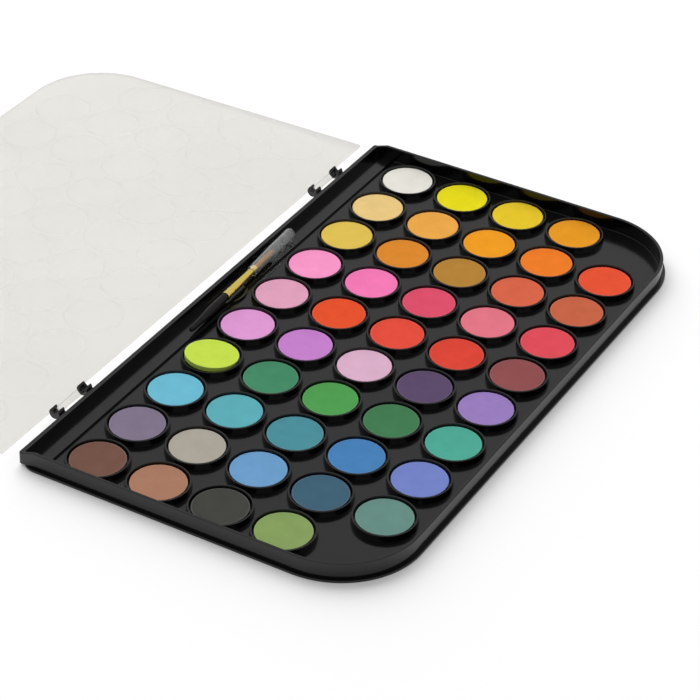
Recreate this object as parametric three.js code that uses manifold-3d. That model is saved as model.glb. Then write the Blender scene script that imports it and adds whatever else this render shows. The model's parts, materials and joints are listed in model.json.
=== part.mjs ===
import * as THREE from 'three';
import { mergeVertices } from 'three/addons/utils/BufferGeometryUtils.js';
import Module from 'manifold-3d';

// Watercolour paint box: a moulded black tray with rows of round tablets, a clear lid that snaps
// onto the tray, and a round brush with a clear cap in a trough beside the hinge.
// Millimetres, +Z up. The origin is the middle of the base plate's underside. +X runs along the
// hinge and +Y points at it. The lid lies open, with its free edge on the table.

// Paint tablets, listed from the far short side to the near one, each row from the hinge outwards.
// Every paint has a name and a colour chosen for it, and an empty name leaves the place bare.
const PAINTS = [
  [['white', '#e8e6dc'], ['lemon_yellow', '#e8dc14'], ['golden_yellow', '#e8c828'], ['amber', '#ea9a1e'], ['', '']],
  [['naples_buff', '#e9c983'], ['light_orange', '#eca848'], ['orange', '#f09c1c'], ['deep_orange', '#ee7c22'],
    ['red_orange', '#e85232']],
  [['pale_ochre', '#e0c054'], ['brown_orange', '#dc882a'], ['olive_ochre', '#b48234'], ['terracotta', '#d86446'],
    ['brown_terracotta', '#c86444']],
  [['candy_pink', '#fa98ca'], ['hot_pink', '#f67ab6'], ['crimson_pink', '#de4e6a'], ['salmon_pink', '#e47686'],
    ['crimson', '#e04c58']],
  [['mauve_pink', '#e2a2be'], ['vermilion', '#e65028'], ['red', '#e44c3a'], ['deep_red', '#dc4434'],
    ['maroon', '#904e50']],
  [['lilac_pink', '#e09ad4'], ['orchid', '#c680cc'], ['pale_pink', '#dcb0ca'], ['dark_purple', '#5a4868'],
    ['lavender', '#9a7ec0']],
  [['lime', '#c2dc4a'], ['green', '#428864'], ['leaf_green', '#4e9c50'], ['deep_green', '#407a50'],
    ['mint', '#4eaa96']],
  [['sky_blue', '#6cbcd4'], ['turquoise', '#5caeb8'], ['teal', '#4a8e9a'], ['cobalt_blue', '#4680b8'],
    ['periwinkle', '#7484c8']],
  [['grey_violet', '#80748a'], ['warm_grey', '#aca69a'], ['light_blue', '#6c9ecc'], ['petrol_blue', '#3e6074'],
    ['sea_green', '#668e84']],
  [['dark_brown', '#745246'], ['light_brown', '#aa7a62'], ['charcoal', '#42423e'], ['olive_green', '#86a05e'],
    ['', '']],
];
const ROWS = PAINTS.length;
const COLUMNS = PAINTS[0].length;
const LOOSE_PAINT = 'lime';

// Tablets and the ring-shaped cups that hold them
const TABLET_RADIUS = 12.0;
const TABLET_FOOT_RADIUS = 11.8;
const TABLET_THICKNESS = 2.2;
const TABLET_EDGE = 0.3;
const TABLET_CLEARANCE = 0.3;
const CUP_WALL = 1.7;
const CUP_FLARE = 1.0;
const CUP_RIM_ABOVE_TABLET = 0.7;
const ROW_GAP = 1.14;
const COLUMN_GAP = 1.8;

// The loose tablet has popped out on one side and leans on the flare of its cup
const LOOSE_TILT_DEGREES = 5.7;
const LOOSE_TILT_DIRECTION_DEGREES = 160;
const LOOSE_SHIFT = 0.45;
const LOOSE_FLOOR_GAP = 0.25;

// Tray
const BASE_THICKNESS = 1.2;
const FLANGE_THICKNESS = 1.1;
const FLANGE_WIDTH = 1.5;
const WALL = 1.5;
const HINGE_WALL = 2.2;
const END_GAP = 1.27;
const FREE_GAP = 5.4;
const TROUGH_GAP = 2.6;
const FREE_CORNER_RADIUS = 36.5;
const HINGE_CORNER_RADIUS = 1.2;
const INNER_HINGE_CORNER_RADIUS = 0.6;
const FLANGE_HINGE_CORNER_RADIUS = 9.0;
const HINGE_RIM_DROP = 2.0;
const RIM_RAMP_RUN = 6.0;
const RIM_RAMP_SETBACK = 1.6;

// Brush trough along the hinge wall
const TROUGH_WIDTH = 8.2;
const TROUGH_STEP = 0.7;
const RIB_WIDTH = 1.0;
const RIB_HEIGHT = 0.3;
const WELL_RADIUS = 12.6;
const WELL_BACK = 2.1;
const WELL_FROM_FERRULE = 7.9;

// Brush, lying a little aslant in the trough with its tuft towards the far short side. Its short
// handle ends over the rib, and the end of its cap points at the hinge wall.
const HANDLE_RADIUS = 2.2;
const HANDLE_NECK_RADIUS = 1.9;
const HANDLE_TIP_RADIUS = 1.3;
const HANDLE_LENGTH = 31.0;
const TANG_LENGTH = 8.0;
const FERRULE_RADIUS = 2.15;
const FERRULE_TIP_RADIUS = 1.5;
const FERRULE_LENGTH = 27.0;
const FERRULE_WALL = 0.3;
const FERRULE_CRIMP_DEPTH = 0.25;
const FERRULE_CRIMP_WIDTH = 1.2;
const FERRULE_CLEARANCE = 0.2;
const BACKING_THICKNESS = 1.5;
const BACKING_DEPTH = 2.5;
const TUFT_LENGTH = 18.0;
const TUFT_RADIUS = 1.02;
const TUFT_SPREAD_SHARE = 0.45;
const TUFT_DOME_SHARE = 0.14;
const STRAND_RADIUS = 0.045;
const CAP_RADIUS = 2.9;
const CAP_WALL = 0.45;
const CAP_LENGTH = 37.5;
const CAP_OVERLAP = 3.0;
const CAP_TAPER_LENGTH = 20.0;
const CAP_EDGE = 0.6;
const CAP_END_THICKNESS = 0.8;
const BRUSH_FROM_MIDDLE = -3.3;
const BRUSH_SLANT_DEGREES = 2.6;
const BRUSH_SEAT_GAP = 0.25;
const BRUSH_FROM_RIB = 1.24;
const BRUSH_HEADROOM = 0.75;

// Outlines as shares: along the handle from the ferrule, and of the girth named beside each
const TAIL_SHARES = { foot: 1, tip: 0.975, middle: 0.62, belly: 0.36, neck: 0.12 };
const ROUNDED_TIP_SHARE = 0.5;
const CRIMP_FLAT_SHARE = 0.5;

// Snap hinge: two pairs of open clips on the tray, two tabs with pins on the lid
const HINGE_SPACING = 211.4;
const HINGE_DROP = 2.4;
const PIN_RADIUS = 1.1;
const PIN_CLEARANCE = 0.3;
const PIN_END_GAP = 0.2;
const CLIP_WALL = 1.2;
const CLIP_WIDTH = 4.3;
const CLIP_END_THICKNESS = 0.9;
const CLIP_STANDOFF = 0.6;
const CLIP_MOUTH_HALF_ANGLE_DEGREES = 45;
const TAB_WIDTH = 15.0;
const TAB_CLEARANCE = 0.4;
const TAB_HUB_RADIUS = 1.5;

// Lid
const LID_THICKNESS = 1.1;
const LID_GAP = 0.3;
const LID_END_OVERHANG = 0.5;
const LID_FREE_OVERHANG = 0.9;
const LID_HINGE_SETBACK = 1.7;
const LID_HINGE_CORNER_RADIUS = 1.0;
const LID_FREE_CORNER_RADIUS = 36.0;
const LID_TABLE_GAP = 0.05;

// Facets and helper values
const ROUND_SIDES = 16;
const PIN_SIDES = 16;
const CLIP_STEPS = 10;
const CORNER_STEPS = 9;
const STRAND_COUNT = 300;
const STRAND_SIDES = 3;
const OVERRUN = 0.3;
const WELD_DISTANCE = 1e-5;
const QUARTER_TURN = Math.PI / 2;
const GOLDEN_ANGLE = Math.PI * (3 - Math.sqrt(5));
const { degToRad } = THREE.MathUtils;

// Sizes that follow from the ones above
const CUP_BORE = TABLET_RADIUS + TABLET_CLEARANCE;
const CUP_RADIUS = CUP_BORE + CUP_WALL;
const ROW_PITCH = 2 * CUP_RADIUS + ROW_GAP;
const COLUMN_PITCH = 2 * CUP_RADIUS + COLUMN_GAP;
const FLOOR_Z = BASE_THICKNESS;
const TABLET_TOP_Z = FLOOR_Z + TABLET_THICKNESS;
const CUP_RIM_Z = TABLET_TOP_Z + CUP_RIM_ABOVE_TABLET;

const INNER_HALF_X = ((ROWS - 1) * ROW_PITCH) / 2 + CUP_RADIUS + END_GAP;
const CUPS_WIDTH = (COLUMNS - 1) * COLUMN_PITCH + 2 * CUP_RADIUS;
const INNER_HALF_Y = (FREE_GAP + CUPS_WIDTH + TROUGH_GAP + RIB_WIDTH + TROUGH_WIDTH) / 2;
const OUTER_HALF_X = INNER_HALF_X + WALL;
const OUTER_HALF_Y = INNER_HALF_Y + WALL;
const HINGE_FACE_Y = INNER_HALF_Y + HINGE_WALL;
const FIRST_COLUMN_Y = INNER_HALF_Y - TROUGH_WIDTH - RIB_WIDTH - TROUGH_GAP - CUP_RADIUS;

const TROUGH_Z = FLOOR_Z + TROUGH_STEP;
const TROUGH_EDGE_Y = INNER_HALF_Y - TROUGH_WIDTH;

const BRUSH_REACH = Math.max(HANDLE_RADIUS, FERRULE_RADIUS, CAP_RADIUS);
const BRUSH_X = BRUSH_FROM_MIDDLE;
const BRUSH_Y = TROUGH_EDGE_Y + BRUSH_FROM_RIB;
const BRUSH_Z = TROUGH_Z + BRUSH_SEAT_GAP + BRUSH_REACH;

const RIM_Z = BRUSH_Z + BRUSH_REACH + BRUSH_HEADROOM - LID_GAP;
const HINGE_RIM_Z = RIM_Z - HINGE_RIM_DROP;
const CLIP_BORE = PIN_RADIUS + PIN_CLEARANCE;
const CLIP_RADIUS = CLIP_BORE + CLIP_WALL;
const HINGE_Y = HINGE_FACE_Y + CLIP_STANDOFF + CLIP_RADIUS;
const HINGE_Z = RIM_Z - HINGE_DROP;

const LID_BOTTOM_Z = RIM_Z + LID_GAP;
const LID_TOP_Z = LID_BOTTOM_Z + LID_THICKNESS;
const LID_REACH = HINGE_Y + OUTER_HALF_Y + LID_FREE_OVERHANG;
const LID_RISE = LID_TOP_Z - HINGE_Z;
const LID_TILT = Math.asin((HINGE_Z - LID_TABLE_GAP) / Math.hypot(LID_REACH, LID_RISE))
  - Math.atan2(LID_RISE, LID_REACH);
const LID_OPEN_ANGLE = Math.PI + LID_TILT;

const wasm = await Module();
wasm.setup();

// A closed geometry becomes a solid that can be cut and joined.
function toSolid(geometry) {
  geometry.deleteAttribute('normal');
  geometry.deleteAttribute('uv');
  const merged = mergeVertices(geometry, WELD_DISTANCE);
  return new wasm.Manifold(new wasm.Mesh({
    numProp: 3,
    vertProperties: merged.attributes.position.array,
    triVerts: Uint32Array.from(merged.index.array),
  }));
}

function toGeometry(solid) {
  const { vertProperties, triVerts } = solid.getMesh();
  const geometry = new THREE.BufferGeometry();
  geometry.setAttribute('position', new THREE.BufferAttribute(vertProperties, 3));
  geometry.setIndex(new THREE.BufferAttribute(triVerts, 1));
  geometry.computeVertexNormals();
  return geometry;
}

// A flat outline with rounded corners: one radius on the free side, one on the hinge side.
function roundedOutline(halfX, lowY, highY, freeRadius, hingeRadius) {
  const shape = new THREE.Shape();
  shape.absarc(halfX - freeRadius, lowY + freeRadius, freeRadius, -QUARTER_TURN, 0);
  shape.absarc(halfX - hingeRadius, highY - hingeRadius, hingeRadius, 0, QUARTER_TURN);
  shape.absarc(hingeRadius - halfX, highY - hingeRadius, hingeRadius, QUARTER_TURN, 2 * QUARTER_TURN);
  shape.absarc(freeRadius - halfX, lowY + freeRadius, freeRadius, 2 * QUARTER_TURN, 3 * QUARTER_TURN);
  shape.closePath();
  return shape;
}

// A plan outline raised from one height to another.
function slab(shape, lowZ, highZ, curveSegments = CORNER_STEPS) {
  const geometry = new THREE.ExtrudeGeometry(shape, { depth: highZ - lowZ, bevelEnabled: false, curveSegments });
  geometry.translate(0, 0, lowZ);
  return toSolid(geometry);
}

function box(lowX, highX, lowY, highY, lowZ, highZ) {
  const geometry = new THREE.BoxGeometry(highX - lowX, highY - lowY, highZ - lowZ);
  geometry.translate((lowX + highX) / 2, (lowY + highY) / 2, (lowZ + highZ) / 2);
  return toSolid(geometry);
}

function disc(x, y, radius, lowZ, highZ, sides) {
  const geometry = new THREE.CylinderGeometry(radius, radius, highZ - lowZ, sides);
  geometry.rotateX(QUARTER_TURN);
  geometry.translate(x, y, (lowZ + highZ) / 2);
  return toSolid(geometry);
}

// A side view drawn as [y, z] points, carried along X over the given width.
function acrossX(shape, lowX, width) {
  const geometry = new THREE.ExtrudeGeometry(shape, { depth: width, bevelEnabled: false, curveSegments: CLIP_STEPS });
  const turn = new THREE.Matrix4().makeBasis(
    new THREE.Vector3(0, 1, 0), new THREE.Vector3(0, 0, 1), new THREE.Vector3(1, 0, 0));
  geometry.applyMatrix4(turn);
  geometry.translate(lowX, 0, 0);
  return toSolid(geometry);
}

// [radius, height] points turned about Z. The profile runs upwards on its outside.
function turnedAboutZ(profile, sides = ROUND_SIDES) {
  const geometry = new THREE.LatheGeometry(profile.map(([radius, z]) => new THREE.Vector2(radius, z)), sides);
  geometry.rotateX(QUARTER_TURN);
  return geometry;
}

// [x, radius] points turned about X. The profile runs towards +X on its outside.
function turnedAboutX(profile, sides = ROUND_SIDES) {
  const geometry = new THREE.LatheGeometry(profile.map(([x, radius]) => new THREE.Vector2(radius, x)), sides);
  geometry.rotateZ(-QUARTER_TURN);
  return geometry;
}

function cupPlaces() {
  return PAINTS.flatMap((row, rowIndex) => row.map(([name, colour], columnIndex) => ({
    name,
    colour,
    x: ((ROWS - 1) / 2 - rowIndex) * ROW_PITCH,
    y: FIRST_COLUMN_Y - columnIndex * COLUMN_PITCH,
  }))).filter((place) => place.name !== '');
}

// One ring-shaped cup, sunk a little into the floor so that it joins it.
function cupRing() {
  return toSolid(turnedAboutZ([
    [CUP_BORE, FLOOR_Z - OVERRUN],
    [CUP_RADIUS, FLOOR_Z - OVERRUN],
    [CUP_RADIUS, CUP_RIM_Z],
    [CUP_BORE + CUP_FLARE, CUP_RIM_Z],
    [CUP_BORE, TABLET_TOP_Z],
    [CUP_BORE, FLOOR_Z - OVERRUN],
  ]));
}

// Flange, base and walls. The flange turns the hinge corners on a wide arc, and the walls stand on it
// with sharp corners that reach a little past it. The rim ramps down to the lower hinge side.
function shell() {
  const flange = slab(roundedOutline(
    OUTER_HALF_X + FLANGE_WIDTH, -OUTER_HALF_Y - FLANGE_WIDTH, OUTER_HALF_Y + FLANGE_WIDTH,
    FREE_CORNER_RADIUS + FLANGE_WIDTH, FLANGE_HINGE_CORNER_RADIUS), 0, FLANGE_THICKNESS);
  const block = slab(roundedOutline(
    OUTER_HALF_X, -OUTER_HALF_Y, HINGE_FACE_Y, FREE_CORNER_RADIUS, HINGE_CORNER_RADIUS),
  FLANGE_THICKNESS - OVERRUN, RIM_Z);
  const hollow = slab(roundedOutline(
    INNER_HALF_X, -INNER_HALF_Y, INNER_HALF_Y, FREE_CORNER_RADIUS - WALL, INNER_HINGE_CORNER_RADIUS),
  FLOOR_Z, RIM_Z + OVERRUN);
  const rampY = HINGE_FACE_Y - RIM_RAMP_SETBACK;
  const step = new THREE.Shape();
  step.moveTo(rampY, HINGE_RIM_Z);
  step.lineTo(HINGE_FACE_Y + OVERRUN, HINGE_RIM_Z);
  step.lineTo(HINGE_FACE_Y + OVERRUN, RIM_Z + OVERRUN);
  step.lineTo(rampY - RIM_RAMP_RUN, RIM_Z + OVERRUN);
  step.lineTo(rampY - RIM_RAMP_RUN, RIM_Z);
  step.closePath();
  const widest = OUTER_HALF_X + OVERRUN;
  return block.subtract(hollow).subtract(acrossX(step, -widest, 2 * widest)).add(flange);
}

// The raised trough runs from end wall to end wall and has a thin rib on its open edge. The rib
// swings round a well under the ferrule, where a finger lifts the brush.
function trough() {
  const wellX = BRUSH_X + WELL_FROM_FERRULE;
  const wellY = INNER_HALF_Y + WELL_BACK;
  const backY = INNER_HALF_Y + OVERRUN;
  const endX = INNER_HALF_X + OVERRUN;
  const lowZ = FLOOR_Z - OVERRUN;
  const ribZ = TROUGH_Z + RIB_HEIGHT;
  const farY = wellY + 2 * WELL_RADIUS;
  const strip = box(-endX, endX, TROUGH_EDGE_Y - RIB_WIDTH, backY, lowZ, ribZ);
  const lip = disc(wellX, wellY, WELL_RADIUS + RIB_WIDTH, lowZ, ribZ, 2 * ROUND_SIDES);
  const behindWall = box(-endX, endX, backY, farY, 0, RIM_Z);
  const channel = box(-INNER_HALF_X, INNER_HALF_X, TROUGH_EDGE_Y, INNER_HALF_Y, TROUGH_Z, ribZ + OVERRUN);
  const well = disc(wellX, wellY, WELL_RADIUS, FLOOR_Z, ribZ + OVERRUN, 2 * ROUND_SIDES);
  const wall = box(-endX, endX, INNER_HALF_Y, farY, 0, RIM_Z);
  return strip.add(lip).subtract(behindWall).subtract(channel).subtract(well.subtract(wall));
}

// One open clip on a web from the hinge wall: a bar along the axis with its mouth upwards. Its bore
// starts at the tab's side and stops before the other end, so that the pin can't slide out.
function clip(lowX, side) {
  const mouth = degToRad(CLIP_MOUTH_HALF_ANGLE_DEGREES);
  const outline = new THREE.Shape();
  outline.absarc(HINGE_Y, HINGE_Z, CLIP_RADIUS, QUARTER_TURN + mouth, 5 * QUARTER_TURN - mouth);
  outline.lineTo(HINGE_Y, HINGE_Z);
  outline.closePath();
  const boreShift = (side * (CLIP_END_THICKNESS + OVERRUN)) / 2;
  const bore = rod(
    lowX + CLIP_WIDTH / 2 - boreShift, CLIP_WIDTH - CLIP_END_THICKNESS + OVERRUN, CLIP_BORE);
  const web = box(
    lowX, lowX + CLIP_WIDTH, HINGE_FACE_Y - OVERRUN, HINGE_Y - CLIP_BORE - CLIP_WALL / 2,
    HINGE_Z - CLIP_RADIUS, Math.min(HINGE_Z, HINGE_RIM_Z));
  return acrossX(outline, lowX, CLIP_WIDTH).subtract(bore).add(web);
}

// A clip stands at both ends of each tab. Side -1 is the tab's near end, and side 1 its far end.
function clips() {
  const reach = TAB_WIDTH / 2 + TAB_CLEARANCE;
  const centres = [-HINGE_SPACING / 2, HINGE_SPACING / 2];
  return centres.flatMap((centre) => [clip(centre - reach - CLIP_WIDTH, -1), clip(centre + reach, 1)]);
}

function trayGeometry() {
  const ring = cupRing();
  let tray = shell().add(trough());
  for (const { x, y } of cupPlaces()) {
    tray = tray.add(ring.translate([x, y, 0]));
  }
  for (const each of clips()) {
    tray = tray.add(each);
  }
  return toGeometry(tray);
}

function tabletGeometry() {
  return turnedAboutZ([
    [0, 0],
    [TABLET_FOOT_RADIUS, 0],
    [TABLET_RADIUS, TABLET_THICKNESS - TABLET_EDGE],
    [TABLET_RADIUS - TABLET_EDGE, TABLET_THICKNESS],
    [0, TABLET_THICKNESS],
  ]);
}

// The lid is drawn shut, about the hinge axis, and its group turns it open.
function lidGeometry() {
  const hingeEdge = HINGE_FACE_Y - LID_HINGE_SETBACK;
  const pinReach = TAB_CLEARANCE + CLIP_WIDTH - CLIP_END_THICKNESS - PIN_END_GAP;
  const pinLength = TAB_WIDTH + 2 * pinReach;
  let lid = slab(roundedOutline(
    OUTER_HALF_X + LID_END_OVERHANG, -OUTER_HALF_Y - LID_FREE_OVERHANG, hingeEdge,
    LID_FREE_CORNER_RADIUS, LID_HINGE_CORNER_RADIUS), LID_BOTTOM_Z, LID_TOP_Z);
  const arm = new THREE.Shape();
  arm.moveTo(HINGE_Y, HINGE_Z + TAB_HUB_RADIUS);
  arm.lineTo(hingeEdge, LID_TOP_Z);
  arm.lineTo(hingeEdge - LID_THICKNESS, LID_TOP_Z);
  arm.lineTo(hingeEdge - LID_THICKNESS, LID_BOTTOM_Z);
  arm.lineTo(hingeEdge, LID_BOTTOM_Z);
  arm.lineTo(HINGE_Y - TAB_HUB_RADIUS, HINGE_Z);
  arm.lineTo(HINGE_Y, HINGE_Z);
  arm.closePath();
  for (const side of [-1, 1]) {
    const centre = (side * HINGE_SPACING) / 2;
    lid = lid.add(acrossX(arm, centre - TAB_WIDTH / 2, TAB_WIDTH));
    lid = lid.add(rod(centre, TAB_WIDTH, TAB_HUB_RADIUS));
    lid = lid.add(rod(centre, pinLength, PIN_RADIUS));
  }
  return toGeometry(lid.translate([0, -HINGE_Y, -HINGE_Z]));
}

// A round bar on the hinge axis.
function rod(centreX, length, radius) {
  const geometry = new THREE.CylinderGeometry(radius, radius, length, PIN_SIDES);
  geometry.rotateZ(QUARTER_TURN);
  geometry.translate(centreX, HINGE_Y, HINGE_Z);
  return toSolid(geometry);
}

// The brush is drawn about its own axis, with x from the ferrule's wide end.
function ferruleRadiusAt(x) {
  return THREE.MathUtils.mapLinear(x, 0, FERRULE_LENGTH, FERRULE_RADIUS, FERRULE_TIP_RADIUS);
}

function ferruleBoreAt(x) {
  return ferruleRadiusAt(x) - FERRULE_WALL;
}

// Turned handle: rounded tip, slim tail, belly, neck and a tang inside the ferrule.
function handleGeometry() {
  const tangRadius = ferruleBoreAt(TANG_LENGTH) - FERRULE_CLEARANCE;
  const { foot, tip, middle, belly, neck } = TAIL_SHARES;
  return turnedAboutX([
    [-foot * HANDLE_LENGTH, 0],
    [-foot * HANDLE_LENGTH, ROUNDED_TIP_SHARE * HANDLE_TIP_RADIUS],
    [-tip * HANDLE_LENGTH, HANDLE_TIP_RADIUS],
    [-middle * HANDLE_LENGTH, (HANDLE_TIP_RADIUS + HANDLE_RADIUS) / 2],
    [-belly * HANDLE_LENGTH, HANDLE_RADIUS],
    [-neck * HANDLE_LENGTH, (HANDLE_RADIUS + HANDLE_NECK_RADIUS) / 2],
    [-FERRULE_CLEARANCE, HANDLE_NECK_RADIUS],
    [-FERRULE_CLEARANCE, tangRadius],
    [TANG_LENGTH, tangRadius],
    [TANG_LENGTH, 0],
  ]);
}

// Thin drawn tube, narrower at the tuft, with one crimp that bites into the handle's tang.
function ferruleGeometry() {
  const crimpX = TANG_LENGTH / 2;
  const wide = [-1, 1].map((side) => crimpX + side * FERRULE_CRIMP_WIDTH);
  const tight = [-1, 1].map((side) => crimpX + side * CRIMP_FLAT_SHARE * FERRULE_CRIMP_WIDTH);
  return turnedAboutX([
    [0, ferruleBoreAt(0)],
    [0, ferruleRadiusAt(0)],
    [wide[0], ferruleRadiusAt(wide[0])],
    [tight[0], ferruleRadiusAt(tight[0]) - FERRULE_CRIMP_DEPTH / 2],
    [tight[1], ferruleRadiusAt(tight[1]) - FERRULE_CRIMP_DEPTH / 2],
    [wide[1], ferruleRadiusAt(wide[1])],
    [FERRULE_LENGTH, FERRULE_TIP_RADIUS],
    [FERRULE_LENGTH, ferruleBoreAt(FERRULE_LENGTH)],
    [0, ferruleBoreAt(0)],
  ]);
}

// Hair tuft: tapering strands on a sunflower pattern, fused to a slice of their glued root.
// Each strand leans outwards in proportion to its place, so that none crosses another.
function tuftGeometry() {
  const rootX = FERRULE_LENGTH - BACKING_DEPTH;
  const backing = toSolid(turnedAboutX([
    [rootX, 0],
    [rootX, TUFT_RADIUS + STRAND_RADIUS],
    [rootX + BACKING_THICKNESS, TUFT_RADIUS + STRAND_RADIUS],
    [rootX + BACKING_THICKNESS, 0],
  ]));
  const strandLength = TUFT_LENGTH + BACKING_DEPTH - BACKING_THICKNESS;
  const strands = [];
  for (let index = 0; index < STRAND_COUNT; index += 1) {
    const share = Math.sqrt((index + 0.5) / STRAND_COUNT);
    const around = index * GOLDEN_ANGLE;
    const across = share * (TUFT_RADIUS - 2 * STRAND_RADIUS);
    const length = strandLength * (1 - TUFT_DOME_SHARE * share * share);
    const strand = new THREE.ConeGeometry(STRAND_RADIUS, length + OVERRUN, STRAND_SIDES, 1);
    strand.rotateZ(-QUARTER_TURN);
    strand.translate((length - OVERRUN) / 2, 0, 0);
    const lean = (TUFT_SPREAD_SHARE * across) / strandLength;
    const place = new THREE.Matrix4().set(
      1, 0, 0, rootX + BACKING_THICKNESS,
      lean * Math.cos(around), 1, 0, across * Math.cos(around),
      lean * Math.sin(around), 0, 1, across * Math.sin(around),
      0, 0, 0, 1);
    strand.applyMatrix4(place);
    strands.push(toSolid(strand));
  }
  return toGeometry(wasm.Manifold.union([backing, ...strands]));
}

// Clear cap: a thin sleeve, closed at its far end, whose mouth slips over the ferrule's tip.
function capGeometry() {
  const start = FERRULE_LENGTH - CAP_OVERLAP;
  const end = start + CAP_LENGTH;
  const mouthBore = ferruleRadiusAt(start) + FERRULE_CLEARANCE;
  const mouth = Math.min(mouthBore + CAP_WALL, CAP_RADIUS);
  return turnedAboutX([
    [start, mouthBore],
    [start, mouth],
    [start + CAP_TAPER_LENGTH, CAP_RADIUS],
    [end - CAP_EDGE, CAP_RADIUS],
    [end, CAP_RADIUS - CAP_EDGE],
    [end, 0],
    [end - CAP_END_THICKNESS, 0],
    [end - CAP_END_THICKNESS, CAP_RADIUS - CAP_WALL],
    [start + CAP_TAPER_LENGTH, CAP_RADIUS - CAP_WALL],
    [start, mouthBore],
  ]);
}

function piece(name, geometry, color, roughness, metalness = 0) {
  const mesh = new THREE.Mesh(geometry, new THREE.MeshStandardMaterial({ color, roughness, metalness }));
  mesh.name = name;
  return mesh;
}

function clearPiece(name, geometry, color, opacity) {
  const mesh = piece(name, geometry, color, 0.12);
  mesh.material.transparent = true;
  mesh.material.opacity = opacity;
  return mesh;
}

// Tips the loose tablet about its own foot, so that its low edge stays just above the cup's floor.
function leanLooseTablet(tablet) {
  const tilt = degToRad(LOOSE_TILT_DEGREES);
  const towards = degToRad(LOOSE_TILT_DIRECTION_DEGREES);
  const axis = new THREE.Vector3(Math.sin(towards), -Math.cos(towards), 0);
  tablet.setRotationFromAxisAngle(axis, tilt);
  tablet.position.x += LOOSE_SHIFT * Math.cos(towards);
  tablet.position.y += LOOSE_SHIFT * Math.sin(towards);
  tablet.position.z += LOOSE_FLOOR_GAP + TABLET_RADIUS * Math.sin(tilt);
}

function tablets() {
  return cupPlaces().map(({ name, colour, x, y }) => {
    const tablet = piece(`tablet_${name}`, tabletGeometry(), colour, 0.85);
    tablet.position.set(x, y, FLOOR_Z);
    if (name === LOOSE_PAINT) leanLooseTablet(tablet);
    return tablet;
  });
}

function brush() {
  const group = new THREE.Group();
  group.position.set(BRUSH_X, BRUSH_Y, BRUSH_Z);
  group.rotation.z = degToRad(BRUSH_SLANT_DEGREES);
  group.add(
    piece('brush_handle', handleGeometry(), '#1b1b1d', 0.25),
    piece('brush_ferrule', ferruleGeometry(), '#d9a93a', 0.25, 1),
    piece('brush_tuft', tuftGeometry(), '#c98a4b', 0.6),
    clearPiece('brush_cap', capGeometry(), '#dfe5e2', 0.35));
  return group;
}

function lid() {
  const pivot = new THREE.Group();
  pivot.position.set(0, HINGE_Y, HINGE_Z);
  pivot.rotation.x = -LID_OPEN_ANGLE;
  pivot.add(clearPiece('lid', lidGeometry(), '#e4e4e0', 0.4));
  return pivot;
}

const paintBox = new THREE.Group();
paintBox.add(piece('tray', trayGeometry(), '#17171a', 0.32), ...tablets(), brush(), lid());

export default paintBox;
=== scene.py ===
# %% [markdown]
# A watercolour paint box lies open on a white table. The fixed frame holds every piece at its real
# size and place, and this lesson gives each one its finished shape and its material.
# %% Load the frame
import json
import math
import random

import bmesh
import bpy
from mathutils import Matrix, Vector


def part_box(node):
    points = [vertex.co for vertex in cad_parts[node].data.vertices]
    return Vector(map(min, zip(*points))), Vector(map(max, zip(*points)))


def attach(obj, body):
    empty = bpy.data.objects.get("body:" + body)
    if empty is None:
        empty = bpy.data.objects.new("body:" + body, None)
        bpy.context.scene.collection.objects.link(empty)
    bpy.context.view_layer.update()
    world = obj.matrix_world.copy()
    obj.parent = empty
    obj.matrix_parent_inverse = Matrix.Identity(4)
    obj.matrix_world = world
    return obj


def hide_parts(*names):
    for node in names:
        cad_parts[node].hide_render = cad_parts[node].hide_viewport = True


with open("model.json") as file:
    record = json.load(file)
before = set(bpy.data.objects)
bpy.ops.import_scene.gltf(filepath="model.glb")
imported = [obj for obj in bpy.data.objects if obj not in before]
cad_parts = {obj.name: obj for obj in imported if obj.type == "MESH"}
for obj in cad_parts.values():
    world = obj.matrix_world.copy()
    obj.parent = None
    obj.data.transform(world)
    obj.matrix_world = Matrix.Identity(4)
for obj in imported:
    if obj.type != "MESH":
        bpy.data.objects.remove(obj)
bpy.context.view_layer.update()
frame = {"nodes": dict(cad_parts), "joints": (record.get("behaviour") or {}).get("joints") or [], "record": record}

MM = 0.001

# %% [markdown]
# Most sizes follow from the frame. The tray's box gives the flange, the hinge joint gives the axis
# of the pins, and the tablets give the places of the cups. The few wall sizes that no box shows are
# written here once, as the moulder would write them. Solids that are joined reach SINK into each other.
# %% Sizes taken from the frame
TRAY_LOW, TRAY_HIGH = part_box("tray")
FLANGE = 1.5 * MM
FLANGE_TOP = 1.1 * MM
WALL = 1.5 * MM
HINGE_WALL = 2.2 * MM
HINGE_RIM_DROP = 2.0 * MM
SINK = 0.3 * MM
OUTER_X = TRAY_HIGH.x - FLANGE
OUTER_Y = -TRAY_LOW.y - FLANGE
INNER_X = OUTER_X - WALL
INNER_Y = OUTER_Y - WALL
HINGE_FACE_Y = INNER_Y + HINGE_WALL
HINGE = Vector(next(j["pos_m"] for j in frame["joints"] if j["name"] == "lid_hinge"))
LID_OPENING = math.radians(180.715)

TABLET_CLEARANCE = 0.3 * MM
CUP_WALL = 1.7 * MM
CUP_RIM_ABOVE_PAINT = 0.7 * MM
FIRST_LOW, FIRST_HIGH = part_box("tablet_white")
TABLET_RADIUS = (FIRST_HIGH.x - FIRST_LOW.x) / 2
FLOOR_Z = FIRST_LOW.z
PAINT_TOP = FIRST_HIGH.z
RIM_Z = TRAY_HIGH.z
HINGE_RIM_Z = RIM_Z - HINGE_RIM_DROP
CUP_BORE = TABLET_RADIUS + TABLET_CLEARANCE
CUP_RADIUS = CUP_BORE + CUP_WALL
CUP_RIM_Z = PAINT_TOP + CUP_RIM_ABOVE_PAINT
print("walls reach", round(OUTER_X / MM, 1), "by", round(OUTER_Y / MM, 1), "mm, hinge at", tuple(HINGE))

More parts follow.
